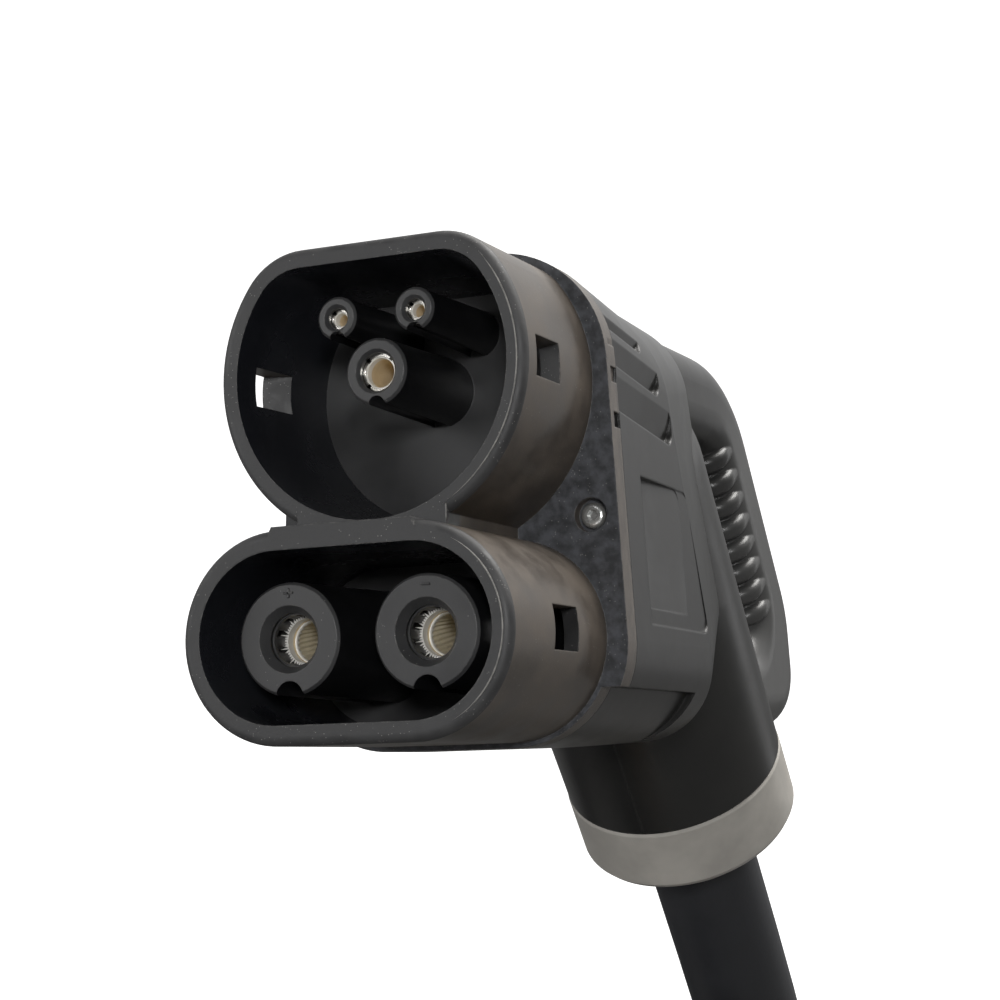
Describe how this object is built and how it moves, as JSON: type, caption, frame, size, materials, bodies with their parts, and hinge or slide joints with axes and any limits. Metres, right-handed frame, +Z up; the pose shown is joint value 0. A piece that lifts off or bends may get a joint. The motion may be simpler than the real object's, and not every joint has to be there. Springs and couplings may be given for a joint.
{
  "type": "electric vehicle charging connector",
  "caption": "Direct-current vehicle charging plug with a hooped handle, combined signal and power shrouds, and a coiled charging cable.",
  "frame": {"origin": "on the earth contact's axis, in the front plane of the upper shroud", "axes": "+Y from the front into the plug, +X right seen from the front, +Z up"},
  "size_m": [0.389, 0.4099, 0.2949],
  "materials": {
    "shroud": "satin",
    "carrier": "satin",
    "guard": "matt",
    "contact": "silver plated",
    "cage": "gold toned spring",
    "housing": "semi-gloss, softer on the handle",
    "nut": "satin",
    "seal": "matt",
    "clamp": "matt",
    "screw": "bright",
    "earth_core": "satin, green and yellow",
    "plus_core": "satin",
    "minus_core": "satin",
    "pilot_core": "satin",
    "proximity_core": "satin",
    "bead": "glazed",
    "board": "satin",
    "cable": "matt",
    "boot": "matt",
    "lug": "tinned"
  },
  "bodies": {
    "root": {"front_shroud": "shroud", "ac_contact_carrier": "carrier", "dc_contact_carrier": "carrier", "dc_touch_guards": "guard", "earth_contact": "contact", "control_pilot_contact": "contact", "proximity_contact": "contact", "dc_plus_contact": "contact", "dc_minus_contact": "contact", "dc_lamella_cages": "cage", "ac_retainer": "carrier", "dc_retainer": "carrier", "housing_left": "housing", "housing_right": "housing", "gland_nut": "nut", "gland_seal": "seal", "gland_claw": "clamp", "clamp_upper": "clamp", "clamp_lower": "clamp", "clamp_screws": "screw", "flange_screws": "screw", "housing_screws": "screw", "earth_lead": "earth_core", "control_pilot_lead": "pilot_core", "proximity_lead": "proximity_core", "dc_plus_lead": "plus_core", "dc_minus_lead": "minus_core", "temperature_sensors": "bead", "coding_board": "board", "cable": "cable", "cable_coil": "cable", "tail_boot": "boot", "tail_cores": "minus_core", "tail_lugs": "lug"}
  },
  "joints": []
}
